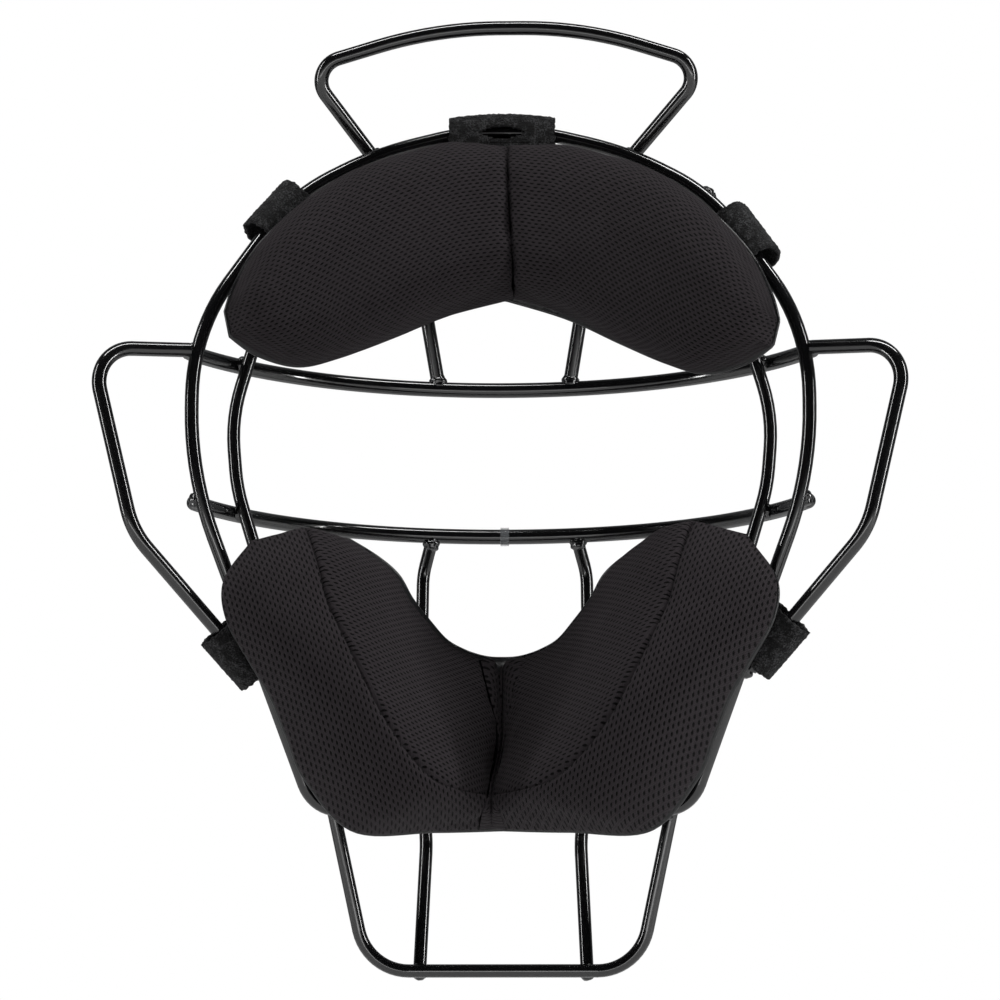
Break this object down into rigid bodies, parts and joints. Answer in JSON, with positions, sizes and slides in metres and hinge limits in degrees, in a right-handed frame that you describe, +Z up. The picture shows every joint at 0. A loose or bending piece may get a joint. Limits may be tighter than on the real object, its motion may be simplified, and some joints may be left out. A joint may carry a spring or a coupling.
{
  "type": "catchers mask",
  "caption": "Traditional wire face mask for catchers and umpires, with a padded forehead bar and a padded jaw cup strapped to a black welded cage.",
  "frame": {"origin": "where the wearer's face sits: on the eye line, midway between the two side rails of the rim", "axes": "+Z up, +X to the wearer's right hand side as the inside of the mask is looked into, -Y towards the wearer, +Y out through the cage"},
  "size_m": [0.2638, 0.1011, 0.3212],
  "materials": {
    "enamelled_wire": "gloss",
    "mesh_cloth": "matte",
    "foam": "matte",
    "vinyl": "satin",
    "webbing": "matte",
    "clear_plastic": "gloss"
  },
  "bodies": {
    "mask": {"rim_wire": "enamelled_wire", "crown_loop": "enamelled_wire", "upper_eye_bar": "enamelled_wire", "lower_eye_bar": "enamelled_wire", "chin_hoop": "enamelled_wire", "left_face_bar": "enamelled_wire", "right_face_bar": "enamelled_wire", "left_ear_guard": "enamelled_wire", "right_ear_guard": "enamelled_wire", "weld_beads": "enamelled_wire", "clear_band": "clear_plastic", "forehead_foam_left": "foam", "forehead_foam_right": "foam", "forehead_cover_left": "mesh_cloth", "forehead_cover_right": "mesh_cloth", "forehead_back_panel": "vinyl", "jaw_foam_left": "foam", "jaw_foam_right": "foam", "jaw_outer_panel_left": "mesh_cloth", "jaw_outer_panel_right": "mesh_cloth", "jaw_inner_panel_left": "mesh_cloth", "jaw_inner_panel_right": "mesh_cloth", "jaw_center_gusset": "mesh_cloth", "jaw_back_panel": "vinyl", "forehead_middle_strap": "webbing", "forehead_left_strap": "webbing", "forehead_right_strap": "webbing", "jaw_left_strap": "webbing", "jaw_right_strap": "webbing"},
    "forehead_middle_tab_flap": {"forehead_middle_tab": "webbing"},
    "forehead_right_tab_flap": {"forehead_right_tab": "webbing"},
    "forehead_left_tab_flap": {"forehead_left_tab": "webbing"},
    "jaw_right_tab_flap": {"jaw_right_tab": "webbing"},
    "jaw_left_tab_flap": {"jaw_left_tab": "webbing"}
  },
  "joints": [
    {"name": "forehead_middle_tab_fold", "type": "hinge", "parent": "mask", "child": "forehead_middle_tab_flap", "pos_m": [0, 0.034, 0.1155], "axis": [1, 0, 0], "range_deg": [0, 120]},
    {"name": "forehead_right_tab_fold", "type": "hinge", "parent": "mask", "child": "forehead_right_tab_flap", "pos_m": [0.08534, 0.01105, 0.07022], "axis": [0.5238, -0.2418, -0.8168], "range_deg": [0, 120]},
    {"name": "forehead_left_tab_fold", "type": "hinge", "parent": "mask", "child": "forehead_left_tab_flap", "pos_m": [-0.07871, 0.01501, 0.08026], "axis": [0.5968, 0.2494, 0.7626], "range_deg": [0, 120]},
    {"name": "jaw_right_tab_fold", "type": "hinge", "parent": "mask", "child": "jaw_right_tab_flap", "pos_m": [0.09316, 0.00712, -0.07573], "axis": [-0.6371, 0.3106, -0.7055], "range_deg": [0, 120]},
    {"name": "jaw_left_tab_fold", "type": "hinge", "parent": "mask", "child": "jaw_left_tab_flap", "pos_m": [-0.09047, 0.00874, -0.07881], "axis": [-0.6371, -0.3106, 0.7055], "range_deg": [0, 120]}
  ]
}
